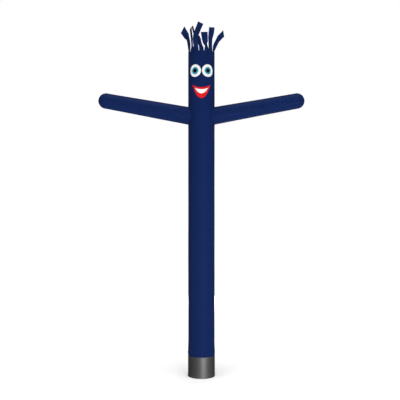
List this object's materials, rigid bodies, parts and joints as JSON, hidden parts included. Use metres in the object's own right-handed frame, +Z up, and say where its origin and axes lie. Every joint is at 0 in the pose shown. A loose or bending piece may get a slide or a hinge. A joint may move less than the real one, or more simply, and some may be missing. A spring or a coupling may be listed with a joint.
{
  "type": "inflatable air dancer",
  "caption": "Tall inflatable cloth tube figure with raised arms, a smiling face, a fringe of hair strips round its open crown and a stiff cuff that slides over a blower.",
  "frame": {"origin": "middle of the cuff's foot, on the surface that it stands on", "axes": "+Z up along the trunk, the face looks along -Y, the arms reach along +X and -X"},
  "size_m": [3.5616, 1.012, 6.0918],
  "materials": {
    "navy_nylon": "thin woven nylon, soft sheen",
    "cuff_vinyl": "coated cloth, satin",
    "white_patch": "thin woven nylon, matt",
    "blue_patch": "thin woven nylon, matt",
    "black_patch": "thin woven nylon, matt",
    "red_patch": "thin woven nylon, matt"
  },
  "bodies": {
    "root": {"cuff": "cuff_vinyl", "trunk": "navy_nylon", "arm_left_front_upper": "navy_nylon", "arm_left_front_lower": "navy_nylon", "arm_left_back_upper": "navy_nylon", "arm_left_back_lower": "navy_nylon", "arm_right_front_upper": "navy_nylon", "arm_right_front_lower": "navy_nylon", "arm_right_back_upper": "navy_nylon", "arm_right_back_lower": "navy_nylon", "hair_fringe": "navy_nylon", "eye_white_left": "white_patch", "eye_white_right": "white_patch", "eye_iris_left": "blue_patch", "eye_iris_right": "blue_patch", "eye_pupil_left": "black_patch", "eye_pupil_right": "black_patch", "mouth": "red_patch", "teeth": "white_patch"}
  },
  "joints": []
}
